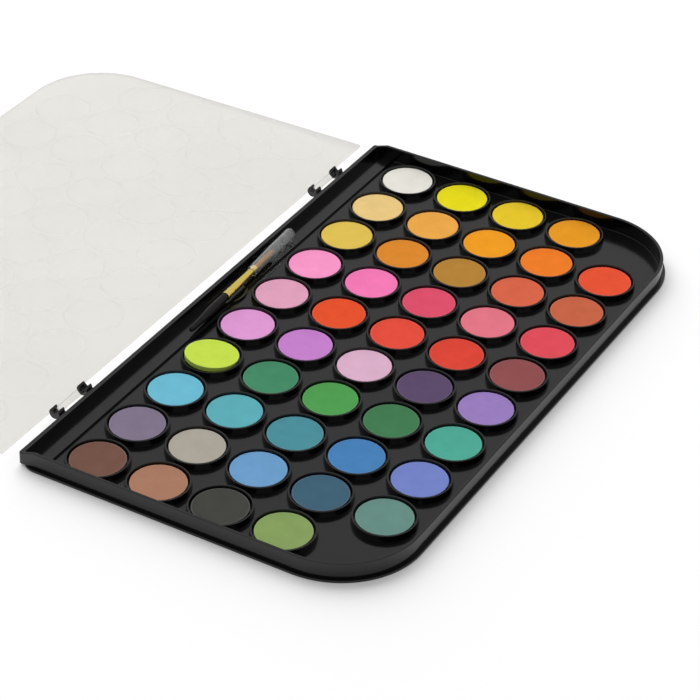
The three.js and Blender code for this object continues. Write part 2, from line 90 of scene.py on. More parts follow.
# %% [markdown]
# The camera stands where the photograph was taken: left of the box and high above the near corner.
# Its place was worked out from the round tablets, which lie on an even grid. Three axes say how it
# is turned, and a long lens keeps the perspective gentle.
# %% Camera
CAMERA_PLACE = Vector((-850.23, -460.39, 670.55)) * MM
CAMERA_RIGHT = Vector((0.50124, -0.86492, 0.02573))
CAMERA_UP = Vector((0.48194, 0.30375, 0.82187))
CAMERA_BACK = Vector((-0.71867, -0.39955, 0.56910))
LENS_MM = 137.87
SENSOR_MM = 36
NEAR_CLIP = 10 * MM

scene = bpy.context.scene
scene.view_settings.view_transform = "Standard"
camera_data = bpy.data.cameras.new("camera")
camera_data.lens = LENS_MM
camera_data.sensor_width = SENSOR_MM
camera_data.clip_start = NEAR_CLIP
camera = bpy.data.objects.new("camera", camera_data)
scene.collection.objects.link(camera)
turn = Matrix((CAMERA_RIGHT, CAMERA_UP, CAMERA_BACK)).transposed().to_4x4()
camera.matrix_world = Matrix.Translation(CAMERA_PLACE) @ turn
scene.camera = camera
print("camera", round(CAMERA_PLACE.length, 3), "m from the middle of the tray")

# %% [markdown]
# The light is that of a bright table-top studio. One very large lamp stands behind the box, so the
# walls and the cups throw short soft shadows towards the camera, and a pale sky fills them. The black
# plastic shows the pale room as a reflection, which is most of what the eye sees of it. The lamp itself
# isn't mirrored or seen through the lid. The sky has one strength as a light, one in reflections, and
# one where the camera sees it.
# %% World and lamp
SKY_STRENGTH = 0.38
SKY_MIRRORED = 0.6
SKY_SEEN = 1.0
LAMP_AZIMUTH = 46
LAMP_ELEVATION = 33
LAMP_DISTANCE = 12.0
LAMP_SIZE = 16.0
LAMP_POWER = 2560


def larger(nodes, links, first, second):
    """The larger of two values. Of two kinds of ray, it says that the ray is one or the other."""
    node = nodes.new("ShaderNodeMath")
    node.operation = "MAXIMUM"
    links.new(first, node.inputs[0])
    links.new(second, node.inputs[1])
    return node.outputs["Value"]


def make_world():
    world = bpy.data.worlds.new("studio")
    scene.world = world
    world.use_nodes = True
    nodes, links = world.node_tree.nodes, world.node_tree.links
    background = nodes["Background"]
    background.inputs["Color"].default_value = (1, 1, 1, 1)
    path = nodes.new("ShaderNodeLightPath")
    seen = larger(nodes, links, path.outputs["Is Camera Ray"], path.outputs["Is Transmission Ray"])
    unseen = nodes.new("ShaderNodeMapRange")
    unseen.inputs["To Min"].default_value = SKY_STRENGTH
    unseen.inputs["To Max"].default_value = SKY_MIRRORED
    links.new(path.outputs["Is Glossy Ray"], unseen.inputs["Value"])
    strength = nodes.new("ShaderNodeMix")
    links.new(seen, strength.inputs["Factor"])
    links.new(unseen.outputs["Result"], strength.inputs["A"])
    strength.inputs["B"].default_value = SKY_SEEN
    links.new(strength.outputs["Result"], background.inputs["Strength"])


def make_lamp():
    """A square lamp that looks at the box. Azimuth 0 is along +Y."""
    azimuth, elevation = math.radians(LAMP_AZIMUTH), math.radians(LAMP_ELEVATION)
    away = Vector((math.sin(azimuth) * math.cos(elevation),
                   math.cos(azimuth) * math.cos(elevation), math.sin(elevation)))
    data = bpy.data.lights.new("key_lamp", "AREA")
    data.size = LAMP_SIZE
    data.energy = LAMP_POWER
    lamp = bpy.data.objects.new("key_lamp", data)
    lamp.location = away * LAMP_DISTANCE
    lamp.rotation_mode = "QUATERNION"
    lamp.rotation_quaternion = away.to_track_quat("Z", "Y")
    lamp.visible_glossy = False
    lamp.visible_transmission = False
    scene.collection.objects.link(lamp)


make_world()
make_lamp()
print("sky", SKY_STRENGTH, "and one soft lamp behind the box")

# %% [markdown]
# The table is one large white plane. Its colour is lit like any other surface, so the box keeps its
# shadow, and a little light of its own, seen only by the camera, in reflections and through the lid,
# lifts it to white.
# %% Table
TABLE_ALBEDO = 0.86
TABLE_GLOW = 0.155
TABLE_SIZE = 8.0
TABLE_DROP = 0.05 * MM


def make_table():
    bpy.ops.mesh.primitive_plane_add(size=TABLE_SIZE, location=(0, 0, -TABLE_DROP))
    table = bpy.context.object
    table.name = "table_top"
    material = bpy.data.materials.new("white_table")
    material.use_nodes = True
    nodes, links = material.node_tree.nodes, material.node_tree.links
    nodes.clear()
    out = nodes.new("ShaderNodeOutputMaterial")
    add = nodes.new("ShaderNodeAddShader")
    diffuse = nodes.new("ShaderNodeBsdfDiffuse")
    diffuse.inputs["Color"].default_value = (TABLE_ALBEDO, TABLE_ALBEDO, TABLE_ALBEDO, 1)
    glow = nodes.new("ShaderNodeEmission")
    path = nodes.new("ShaderNodeLightPath")
    direct = larger(nodes, links, path.outputs["Is Camera Ray"], path.outputs["Is Glossy Ray"])
    seen = larger(nodes, links, direct, path.outputs["Is Transmission Ray"])
    level = nodes.new("ShaderNodeMath")
    level.operation = "MULTIPLY"
    level.inputs[1].default_value = TABLE_GLOW
    links.new(seen, level.inputs[0])
    links.new(level.outputs["Value"], glow.inputs["Strength"])
    links.new(diffuse.outputs["BSDF"], add.inputs[0])
    links.new(glow.outputs["Emission"], add.inputs[1])
    links.new(add.outputs["Shader"], out.inputs["Surface"])
    table.data.materials.append(material)


make_table()

# %% [markdown]
# Modelling by hand in Blender means: add a primitive, enter edit mode, select some of it, and run an
# operator. The helpers below say just that. `pick` selects by place or by the way a face looks, so
# each step of a piece reads like the steps of a person at the screen. SLACK is how far a point may lie
# from the place that is asked for.
# %% Modelling helpers
SMOOTH_ANGLE = math.radians(32)
SLACK = MM / 100
FREE_CORNER_SEGMENTS = 32
HINGE_CORNER_SEGMENTS = 8


def deselect():
    if bpy.context.object and bpy.context.object.mode != "OBJECT":
        bpy.ops.object.mode_set(mode="OBJECT")
    bpy.ops.object.select_all(action="DESELECT")


def activate(piece):
    deselect()
    piece.select_set(True)
    bpy.context.view_layer.objects.active = piece


def edit(piece, kind="FACE"):
    activate(piece)
    bpy.ops.object.mode_set(mode="EDIT")
    bpy.ops.mesh.select_mode(type=kind)
    bpy.ops.mesh.select_all(action="DESELECT")


def pick(piece, test, kind="FACE"):
    """In edit mode, selects what passes the test. A point is tested by its place, an edge by its
    middle, and a face by its centre and normal."""
    bpy.ops.mesh.select_mode(type=kind)
    bpy.ops.mesh.select_all(action="DESELECT")
    mesh = bmesh.from_edit_mesh(piece.data)
    if kind == "VERT":
        for vertex in mesh.verts:
            vertex.select_set(bool(test(vertex.co)))
    elif kind == "EDGE":
        for line in mesh.edges:
            middle = (line.verts[0].co + line.verts[1].co) / 2
            line.select_set(bool(test(middle)))
    else:
        for face in mesh.faces:
            if test(face.calc_center_median(), face.normal):
                face.select_set(True)
    bmesh.update_edit_mesh(piece.data)


def done(piece, name=None):
    """Leaves edit mode and brings the piece's place into its mesh."""
    if bpy.context.object.mode != "OBJECT":
        bpy.ops.object.mode_set(mode="OBJECT")
    activate(piece)
    bpy.ops.object.transform_apply(location=True, rotation=True, scale=True)
    if name:
        piece.name = name
        piece.data.name = name
    return piece


def tidy_normals(piece, gap=1e-6):
    """Merges points that lie on each other and turns every face outwards."""
    edit(piece)
    bpy.ops.mesh.select_all(action="SELECT")
    bpy.ops.mesh.remove_doubles(threshold=gap)
    bpy.ops.mesh.normals_make_consistent(inside=False)
    return done(piece)


def soften(piece, width, segments=3, angle=35):
    """Rounds every edge that is sharper than the angle, as a mould or a cutter leaves it."""
    activate(piece)
    bevel = piece.modifiers.new("edges", "BEVEL")
    bevel.width = width
    bevel.segments = segments
    bevel.limit_method = "ANGLE"
    bevel.angle_limit = math.radians(angle)
    bevel.use_clamp_overlap = True
    bpy.ops.object.modifier_apply(modifier=bevel.name)
    return piece


def combine(piece, tool, operation="UNION"):
    """Joins or cuts with another closed piece, which is used up."""
    activate(piece)
    boolean = piece.modifiers.new("boolean", "BOOLEAN")
    boolean.operation = operation
    boolean.solver = "MANIFOLD"
    boolean.object = tool
    bpy.ops.object.modifier_apply(modifier=boolean.name)
    bpy.data.objects.remove(tool)
    return piece


def smooth(piece, angle=SMOOTH_ANGLE):
    """Shades smoothly up to the angle. Large faces lead, so flat ones stay flat beside a round edge."""
    activate(piece)
    bpy.ops.object.shade_smooth_by_angle(angle=angle)
    weighted = piece.modifiers.new("weighted", "WEIGHTED_NORMAL")
    weighted.keep_sharp = True
    bpy.ops.object.modifier_apply(modifier=weighted.name)
    return piece


def block(name, low, high):
    """A cube primitive between two corners."""
    low, high = Vector(low), Vector(high)
    deselect()
    bpy.ops.mesh.primitive_cube_add(size=1, location=(low + high) / 2)
    piece = bpy.context.object
    piece.scale = high - low
    return done(piece, name)


def post(name, centre, radius, low_z, high_z, sides=96):
    """A cylinder primitive that stands up."""
    deselect()
    bpy.ops.mesh.primitive_cylinder_add(
        vertices=sides, radius=radius, depth=high_z - low_z,
        location=(centre[0], centre[1], (low_z + high_z) / 2))
    return done(bpy.context.object, name)


def copy_of(piece, name, shift=(0, 0, 0)):
    """A copy with its own mesh, moved in the mesh."""
    twin = piece.copy()
    twin.data = piece.data.copy()
    twin.name = name
    twin.data.name = name
    scene.collection.objects.link(twin)
    twin.data.transform(Matrix.Translation(Vector(shift)))
    return twin


def join(pieces, name):
    """Several meshes as one piece, without a boolean."""
    deselect()
    for piece in pieces:
        piece.select_set(True)
    bpy.context.view_layer.objects.active = pieces[0]
    bpy.ops.object.join()
    pieces[0].name = name
    pieces[0].data.name = name
    return pieces[0]


def rounded_plate(name, half_x, low_y, high_y, z, free_radius, hinge_radius):
    """A flat plate outline, left in edit mode: a plane whose corners are bevelled to two radii."""
    deselect()
    bpy.ops.mesh.primitive_plane_add(size=1, location=(0, (low_y + high_y) / 2, z))
    piece = bpy.context.object
    piece.scale = (2 * half_x, high_y - low_y, 1)
    done(piece, name)
    middle = (low_y + high_y) / 2
    edit(piece, "VERT")
    pick(piece, lambda co: co.y < middle, "VERT")
    bpy.ops.mesh.bevel(offset=free_radius, segments=FREE_CORNER_SEGMENTS, affect="VERTICES", profile=0.5)
    pick(piece, lambda co: co.y > high_y - SLACK, "VERT")
    bpy.ops.mesh.bevel(offset=hinge_radius, segments=HINGE_CORNER_SEGMENTS, affect="VERTICES", profile=0.5)
    return piece


def raised_plate(name, half_x, low_y, high_y, low_z, high_z, free_radius, hinge_radius):
    """A plate outline, extruded upwards into a solid."""
    plate = rounded_plate(name, half_x, low_y, high_y, low_z, free_radius, hinge_radius)
    bpy.ops.mesh.select_all(action="SELECT")
    bpy.ops.mesh.extrude_region_move(TRANSFORM_OT_translate={"value": (0, 0, high_z - low_z)})
    done(plate)
    return tidy_normals(plate)


def spun(name, middle, width, height, steps, gap, shape=None):
    """A ring: an upright rectangle, reshaped in edit mode, whose outline is spun once round Z."""
    deselect()
    bpy.ops.mesh.primitive_plane_add(size=1, rotation=(math.pi / 2, 0, 0), location=middle)
    ring = bpy.context.object
    ring.scale = (width, height, 1)
    done(ring, name)
    edit(ring)
    if shape:
        shape(ring)
    bpy.ops.mesh.select_all(action="SELECT")
    bpy.ops.mesh.delete(type="ONLY_FACE")
    bpy.ops.mesh.select_all(action="SELECT")
    bpy.ops.mesh.spin(steps=steps, angle=2 * math.pi, center=(0, 0, 0), axis=(0, 0, 1))
    done(ring)
    return tidy_normals(ring, gap)


def turned(name, stations, steps):
    """Drawn out along the X axis: a ring is extruded from station to station and resized, as on a
    lathe. A station is (x, radius). A first or last radius of 0 closes the end, and a last station
    that repeats the first closes the section into a tube wall."""
    smallest = 2 * SLACK
    radii = [max(radius, smallest) for _, radius in stations]
    deselect()
    bpy.ops.mesh.primitive_circle_add(
        vertices=steps, radius=radii[0], fill_type="NOTHING",
        rotation=(0, math.pi / 2, 0), location=(stations[0][0], 0, 0))
    piece = done(bpy.context.object, name)
    edit(piece, "EDGE")
    bpy.ops.mesh.select_all(action="SELECT")
    for number in range(1, len(stations)):
        step = stations[number][0] - stations[number - 1][0]
        growth = radii[number] / radii[number - 1]
        bpy.ops.mesh.extrude_region_move(TRANSFORM_OT_translate={"value": (step, 0, 0)})
        bpy.ops.transform.resize(
            value=(1, growth, growth), center_override=(stations[number][0], 0, 0))
    for x, radius in (stations[0], stations[-1]):
        if radius == 0:
            pick(piece, lambda co: abs(co.x - x) < SLACK / 10
                 and math.hypot(co.y, co.z) < 2 * smallest, "VERT")
            bpy.ops.mesh.merge(type="CENTER")
    done(piece)
    return tidy_normals(piece)


print("helpers ready")

# %% [markdown]
# Every material is a Principled shader with a few nodes before it. The helpers below add them. Noise
# runs on Object coordinates, so it needs no unwrapping, and its scale is a number of blobs per metre.
# %% Material helpers


def material_named(name):
    """A new node material: its nodes, its links and its main shader."""
    material = bpy.data.materials.new(name)
    material.use_nodes = True
    nodes, links = material.node_tree.nodes, material.node_tree.links
    return material, nodes, links, nodes["Principled BSDF"]


def noise(nodes, links, scale, detail=3.0, stretch=None):
    """A noise value. A stretch below 1 along an axis draws the blobs out along it."""
    place = nodes.new("ShaderNodeTexCoord")
    source = place.outputs["Object"]
    if stretch:
        mapping = nodes.new("ShaderNodeMapping")
        mapping.inputs["Scale"].default_value = stretch
        links.new(source, mapping.inputs["Vector"])
        source = mapping.outputs["Vector"]
    texture = nodes.new("ShaderNodeTexNoise")
    texture.inputs["Scale"].default_value = scale
    texture.inputs["Detail"].default_value = detail
    links.new(source, texture.inputs["Vector"])
    return texture.outputs["Fac"]


def ranged(nodes, links, source, low, high, start=0.3, end=0.7):
    """Brings values from start to end into the range from low to high."""
    spread = nodes.new("ShaderNodeMapRange")
    spread.inputs["From Min"].default_value = start
    spread.inputs["From Max"].default_value = end
    spread.inputs["To Min"].default_value = low
    spread.inputs["To Max"].default_value = high
    links.new(source, spread.inputs["Value"])
    return spread.outputs["Result"]


def bumped(nodes, links, shader, height, strength, distance):
    bump = nodes.new("ShaderNodeBump")
    bump.inputs["Strength"].default_value = strength
    bump.inputs["Distance"].default_value = distance
    links.new(height, bump.inputs["Height"])
    links.new(bump.outputs["Normal"], shader.inputs["Normal"])


def mixed(nodes, links, factor, first, second):
    """Two colours, mixed by a value."""
    mix = nodes.new("ShaderNodeMix")
    mix.data_type = "RGBA"
    mix.inputs["A"].default_value = (*first, 1)
    mix.inputs["B"].default_value = (*second, 1)
    links.new(factor, mix.inputs["Factor"])
    return mix.outputs["Result"]


def give(piece, material):
    piece.data.materials.clear()
    piece.data.materials.append(material)


print("material helpers ready")

# %% [markdown]
# Injection-moulded black plastic is very dark and fairly glossy. Light that meets it head-on is nearly
# lost, while at a slant it mirrors the room. Real mouldings are not quite even: the gloss drifts a
# little across a surface, and there is a fine grain left by the mould.
# %% Black plastic
BLACK = (0.0022, 0.0022, 0.0024)
WORN_BLACK = (0.0042, 0.0040, 0.0038)


def black_plastic():
    material, nodes, links, shader = material_named("black_moulded_plastic")
    links.new(mixed(nodes, links, noise(nodes, links, 35.0), BLACK, WORN_BLACK), shader.inputs["Base Color"])
    links.new(ranged(nodes, links, noise(nodes, links, 160.0), 0.13, 0.18), shader.inputs["Roughness"])
    shader.inputs["IOR"].default_value = 1.5
    bumped(nodes, links, shader, noise(nodes, links, 4500.0, 2.0), 0.04, 0.05 * MM)
    return material


PLASTIC = black_plastic()
print("material:", PLASTIC.name)

# %% [markdown]
# The tray's shell starts as one block with the outline of the walls. Two cuts across it mark a ramp,
# and what lies beyond them sinks, so the rim is lower beside the hinge. A second block, smaller by the
# walls, hollows it. The flange is a thin plate under the walls. It turns the hinge corners on a wide
# arc, and the walls' sharp corners reach a little past it.
# %% Tray shell
FREE_CORNER = 36.5 * MM
HINGE_CORNER = 1.2 * MM
INNER_HINGE_CORNER = 0.6 * MM
FLANGE_HINGE_CORNER = 9.0 * MM
RAMP_SETBACK = 1.6 * MM
RAMP_RUN = 6.0 * MM
RAMP_END = HINGE_FACE_Y - RAMP_SETBACK
RAMP_START = RAMP_END - RAMP_RUN
SHELL_EDGE = 0.28 * MM


def lower_hinge_rim(walls):
    edit(walls)
    for place in (RAMP_START, RAMP_END):
        bpy.ops.mesh.select_all(action="SELECT")
        bpy.ops.mesh.bisect(plane_co=(0, place, 0), plane_no=(0, 1, 0))
    pick(walls, lambda co: co.y > RAMP_END - SLACK and co.z > RIM_Z - SLACK, "VERT")
    bpy.ops.transform.translate(value=(0, 0, HINGE_RIM_Z - RIM_Z))
    done(walls)


def make_shell():
    walls = raised_plate("tray_shell", OUTER_X, -OUTER_Y, HINGE_FACE_Y, FLANGE_TOP - SINK, RIM_Z,
                         FREE_CORNER, HINGE_CORNER)
    lower_hinge_rim(walls)
    hollow = raised_plate("hollow", INNER_X, -INNER_Y, INNER_Y, FLOOR_Z, RIM_Z + SINK,
                          FREE_CORNER - WALL, INNER_HINGE_CORNER)
    combine(walls, hollow, "DIFFERENCE")
    soften(tidy_normals(walls), SHELL_EDGE)
    flange = raised_plate("flange", OUTER_X + FLANGE, -OUTER_Y - FLANGE, OUTER_Y + FLANGE, 0, FLANGE_TOP,
                          FREE_CORNER + FLANGE, FLANGE_HINGE_CORNER)
    return combine(walls, soften(flange, SHELL_EDGE))


tray = make_shell()
print("shell:", len(tray.data.polygons), "faces")

# %% [markdown]
# Each cup is a low ring that grips a tablet at its foot. Its section narrows towards the top: flared
# inside, so that a tablet finds its way in, and drafted outside, so that it leaves the mould. The top
# is a narrow round lip. One section is drawn and spun once round, and the cups are copies of it.
# %% Cups
CUP_DRAFT = 0.42 * MM
CUP_FLARE = 0.62 * MM
LIP_ROUND = 0.29 * MM


def shape_cup(ring):
    """Narrows the section towards the top and rounds its two upper corners."""
    centre = (CUP_BORE + CUP_RADIUS) / 2
    pick(ring, lambda co: co.z > CUP_RIM_Z - SLACK and co.x < centre, "VERT")
    bpy.ops.transform.translate(value=(CUP_FLARE, 0, 0))
    pick(ring, lambda co: co.z > CUP_RIM_Z - SLACK and co.x > centre, "VERT")
    bpy.ops.transform.translate(value=(-CUP_DRAFT, 0, 0))
    pick(ring, lambda co: co.z > CUP_RIM_Z - SLACK, "VERT")
    bpy.ops.mesh.bevel(offset=LIP_ROUND, segments=5, affect="VERTICES")


def make_cup_ring():
    middle = ((CUP_BORE + CUP_RADIUS) / 2, 0, (FLOOR_Z - SINK + CUP_RIM_Z) / 2)
    return spun("cup_ring", middle, CUP_RADIUS - CUP_BORE, CUP_RIM_Z - FLOOR_Z + SINK, 72, 1e-6, shape_cup)


def cup_places():
    """Every cup has a tablet above it. The loose one stands aslant, so a neighbour in its row and one
    in its column give its place."""
    places = {}
    for node in frame["nodes"]:
        if node.startswith("tablet_"):
            low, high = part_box(node)
            places[node] = (low + high) / 2
    loose = places["tablet_lime"]
    loose.x = places["tablet_green"].x
    loose.y = places["tablet_sky_blue"].y
    return places


def at_every_cup(ring, name):
    """One mesh with a copy of the ring at the place of each cup. The ring is used up."""
    rings = [copy_of(ring, "ring", (place.x, place.y, 0)) for place in CUPS.values()]
    bpy.data.objects.remove(ring)
    return join(rings, name)


CUPS = cup_places()
cups = at_every_cup(make_cup_ring(), "cups")
print("cups:", len(CUPS), "with", len(cups.data.polygons), "faces")

# %% [markdown]
# A raised strip along the hinge wall carries the brush. It is one step higher than the floor and runs
# from end wall to end wall. A fine rib keeps the brush from rolling out, and under the ferrule it
# swings round a shallow well, where a finger gets hold of the brush.
# %% Brush trough
TROUGH_WIDTH = 8.2 * MM
TROUGH_STEP = 0.7 * MM
TROUGH_EDGE_Y = INNER_Y - TROUGH_WIDTH
TROUGH_Z = FLOOR_Z + TROUGH_STEP
RIB = 1.0 * MM
RIB_HEIGHT = 0.3 * MM
RIB_TOP = TROUGH_Z + RIB_HEIGHT
BRUSH_X = -3.3 * MM
WELL_RADIUS = 12.6 * MM
WELL_FROM_FERRULE = 7.9 * MM
WELL_BACK = 2.1 * MM
WELL_PLACE = (BRUSH_X + WELL_FROM_FERRULE, INNER_Y + WELL_BACK)
FINE_EDGE = 0.1 * MM


def make_trough():
    back = INNER_Y + SINK
    low = FLOOR_Z - SINK
    high = RIB_TOP + SINK
    end = INNER_X + SINK
    trough = block("trough", (-end, TROUGH_EDGE_Y - RIB, low), (end, back, RIB_TOP))
    combine(trough, post("lip", WELL_PLACE, WELL_RADIUS + RIB, low, RIB_TOP))
    combine(trough, block("inside", (-INNER_X, TROUGH_EDGE_Y, TROUGH_Z), (INNER_X, INNER_Y, high)),
            "DIFFERENCE")
    well = post("well", WELL_PLACE, WELL_RADIUS, FLOOR_Z, high)
    combine(well, block("outside", (-INNER_X, INNER_Y, 0), (INNER_X, 2 * INNER_Y, RIM_Z)), "DIFFERENCE")
    combine(trough, well, "DIFFERENCE")
    combine(trough, block("behind", (-INNER_X, back, 0), (INNER_X, 2 * INNER_Y, RIM_Z)), "DIFFERENCE")
    return soften(tidy_normals(trough), FINE_EDGE, 2)


trough = make_trough()
print("trough:", len(trough.data.polygons), "faces")

# %% [markdown]
# The hinge clips are springy cradles, open at the top, that the lid's pins snap into. Each is a round
# bar along the hinge's axis with a wedge taken out of its top and a bore for the pin. The bore stops
# short of the outer end, so the pin can't slide out. A short web ties the clip to the wall.
# %% Hinge clips
PIN_RADIUS = 1.1 * MM
PIN_CLEARANCE = 0.3 * MM
CLIP_WALL = 1.2 * MM
CLIP_BORE = PIN_RADIUS + PIN_CLEARANCE
CLIP_RADIUS = CLIP_BORE + CLIP_WALL
CLIP_WIDTH = 4.3 * MM
CLIP_END = 0.9 * MM
CLIP_EDGE = 0.15 * MM
TAB_CENTRE = 105.7 * MM
TAB_WIDTH = 15.0 * MM
TAB_GAP = 0.4 * MM


def bar(name, centre_x, length, radius):
    """A cylinder primitive along the hinge's axis."""
    deselect()
    bpy.ops.mesh.primitive_cylinder_add(
        vertices=48, radius=radius, depth=length,
        rotation=(0, math.pi / 2, 0), location=(centre_x, HINGE.y, HINGE.z))
    return done(bpy.context.object, name)


def make_wedge(centre_x):
    """A cube stood on its edge on the hinge's axis opens the mouth, 45 degrees to each side."""
    side = 2 * CLIP_RADIUS
    deselect()
    bpy.ops.mesh.primitive_cube_add(
        size=side, rotation=(math.pi / 4, 0, 0),
        location=(centre_x, HINGE.y, HINGE.z + side / math.sqrt(2)))
    return done(bpy.context.object, "wedge")


def make_clip(low_x, side):
    """Side -1 has its closed end at low x, and side 1 at high x."""
    middle = low_x + CLIP_WIDTH / 2
    cradle = bar("clip", middle, CLIP_WIDTH, CLIP_RADIUS)
    combine(cradle, make_wedge(middle), "DIFFERENCE")
    shift = side * (CLIP_END + SINK) / 2
    combine(cradle, bar("bore", middle - shift, CLIP_WIDTH - CLIP_END + SINK, CLIP_BORE), "DIFFERENCE")
    soften(tidy_normals(cradle), CLIP_EDGE, 2, 50)
    web = block("web", (low_x, HINGE_FACE_Y - SINK, HINGE.z - CLIP_RADIUS),
                (low_x + CLIP_WIDTH, HINGE.y - (CLIP_BORE + CLIP_RADIUS) / 2, HINGE.z))
    return combine(cradle, soften(web, FINE_EDGE, 2))


clips = []
for centre in (-TAB_CENTRE, TAB_CENTRE):
    reach = TAB_WIDTH / 2 + TAB_GAP
    clips += [make_clip(centre - reach - CLIP_WIDTH, -1), make_clip(centre + reach, 1)]
print("clips:", [tuple(round(v / MM, 1) for v in clip.bound_box[0]) for clip in clips])

# %% [markdown]
# The whole tray comes out of one mould, so its parts are joined into a single skin.
# %% One moulding
for addition in (trough, cups, *clips):
    combine(tray, addition)
tidy_normals(tray)
smooth(tray)
tray.name = "tray_moulding"
give(tray, PLASTIC)
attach(tray, "tray")
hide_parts("tray")
print("tray:", len(tray.data.polygons), "faces")

# %% [markdown]
# Pressed watercolour is pigment and gum pressed in a die. The surface is dead matt and slightly
# powdery, and its tone drifts a little where the press was uneven. The bevelled edge is painted a
# touch lighter: a painted highlight where the bevel catches the light, with a little dust on it. Each
# paint gets a material of its own colour, which the record holds.
# %% Paint material
RECORD_COLOURS = {m["slot"]: m["base_color"] for m in frame["record"]["materials"]}
DARKER = 0.95
PALER = 1.03
POWDER = 0.002
# How far the bevel's colour moves towards white: a painted highlight, with a little dust.
EDGE_HIGHLIGHT_AND_DUST = 0.05


def linear(value):
    """A colour value of the record, which is an sRGB one, as the shader wants it."""
    return value / 12.92 if value <= 0.04045 else ((value + 0.055) / 1.055) ** 2.4


def paint_material(name):
    """Two near tones of the paint drift over the face, and the attribute 'edge' lightens the bevel
    with a painted highlight and a little dust.
    """
    base = [linear(value) for value in RECORD_COLOURS["paint_" + name][:3]]
    dark = [DARKER * value for value in base]
    pale = [min(1.0, PALER * value + POWDER) for value in base]
    # The bevel's colour is a painted highlight where it catches the light, with a little dust.
    edge = [value + (1 - value) * EDGE_HIGHLIGHT_AND_DUST for value in base]
    material, nodes, links, shader = material_named("paint_" + name)
    tone = mixed(nodes, links, ranged(nodes, links, noise(nodes, links, 170.0, 4.0), 0, 1), dark, pale)
    mark = nodes.new("ShaderNodeAttribute")
    mark.attribute_name = "edge"
    edge_highlight_mix = nodes.new("ShaderNodeMix")
    edge_highlight_mix.data_type = "RGBA"
    edge_highlight_mix.inputs["B"].default_value = (*edge, 1)
    links.new(tone, edge_highlight_mix.inputs["A"])
    links.new(mark.outputs["Fac"], edge_highlight_mix.inputs["Factor"])
    links.new(edge_highlight_mix.outputs["Result"], shader.inputs["Base Color"])
    shader.inputs["Roughness"].default_value = 0.9
    shader.inputs["Specular IOR Level"].default_value = 0.2
    bumped(nodes, links, shader, noise(nodes, links, 5200.0, 3.0), 0.15, 0.06 * MM)
    return material


print("paints:", len([slot for slot in RECORD_COLOURS if slot.startswith("paint_")]))

# %% [markdown]
# All tablets come from one die: a short drum, a trace narrower at the foot so that it leaves the die,
# with a small bevel round the top. The tablet is modelled once at the origin. Every copy gets its own
# mesh, its own slight dish, and its own colour.
# %% Tablets
TABLET_EDGE = 0.3 * MM
TABLET_DRAFT = 0.2 * MM
TABLET_HEIGHT = PAINT_TOP - FLOOR_Z
FACE_RINGS = (0.4 * MM, 2.0 * MM, 3.2 * MM, 3.2 * MM)
SHALLOWEST_DISH = 0.03
DEEPEST_DISH = 0.12
LOOSE_TILT = 5.7
LOOSE_TOWARDS = 160


def make_tablet():
    """A drum with a drafted foot, a bevelled edge and rings on its face, which the dish needs."""
    tablet = post("tablet", (0, 0), TABLET_RADIUS, 0, TABLET_HEIGHT, 72)
    edit(tablet)
    pick(tablet, lambda co, normal: normal.z < -0.9)
    foot = 1 - TABLET_DRAFT / TABLET_RADIUS
    bpy.ops.transform.resize(value=(foot, foot, 1))
    pick(tablet, lambda co, normal: normal.z > 0.9)
    bpy.ops.mesh.bevel(offset=TABLET_EDGE, segments=2, affect="EDGES")
    pick(tablet, lambda co, normal: normal.z > 0.99)
    for ring in FACE_RINGS:
        bpy.ops.mesh.inset(thickness=ring, use_even_offset=True)
    done(tablet)
    return tidy_normals(tablet)


def mark_edges(tablet):
    """The attribute is 1 on the bevel ring and 0 on the face and the foot."""
    marks = tablet.data.attributes.new("edge", "FLOAT", "POINT")
    band = 1.2 * TABLET_EDGE
    for vertex in tablet.data.vertices:
        near_top = vertex.co.z > TABLET_HEIGHT - band
        near_side = math.hypot(vertex.co.x, vertex.co.y) > TABLET_RADIUS - band
        marks.data[vertex.index].value = float(near_top and near_side)


def dish(tablet, depth):
    """The middle of a pressed face lies a hair lower than its rim."""
    for vertex in tablet.data.vertices:
        if vertex.co.z > TABLET_HEIGHT - SLACK:
            around = math.hypot(vertex.co.x, vertex.co.y) / TABLET_RADIUS
            vertex.co.z -= depth * max(0.0, 1 - around * around)


def loose_pose():
    """The loose tablet's box gives its middle. Its raised side looks towards LOOSE_TOWARDS."""
    low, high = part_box("tablet_lime")
    towards = math.radians(LOOSE_TOWARDS)
    axis = Vector((math.sin(towards), -math.cos(towards), 0))
    return Matrix.Translation((low + high) / 2) @ Matrix.Rotation(math.radians(LOOSE_TILT), 4, axis)


drum = make_tablet()
mark_edges(drum)
random.seed(11)
tablets = []
for node, place in CUPS.items():
    name = node.removeprefix("tablet_")
    tablet = copy_of(drum, "paint_" + name)
    dish(tablet, random.uniform(SHALLOWEST_DISH, DEEPEST_DISH) * MM)
    tablet.data.transform(Matrix.Rotation(random.uniform(0, 2 * math.pi), 4, "Z"))
    if name == "lime":
        tablet.data.transform(loose_pose() @ Matrix.Translation((0, 0, -TABLET_HEIGHT / 2)))
    else:
        tablet.data.transform(Matrix.Translation((place.x, place.y, FLOOR_Z)))
    give(tablet, paint_material(name))
    smooth(tablet)
    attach(tablet, "loose_tablet" if name == "lime" else "tray")
    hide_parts(node)
    tablets.append(tablet)
bpy.data.objects.remove(drum)
print("tablets:", len(tablets), "of", len(tablets[0].data.polygons), "faces")

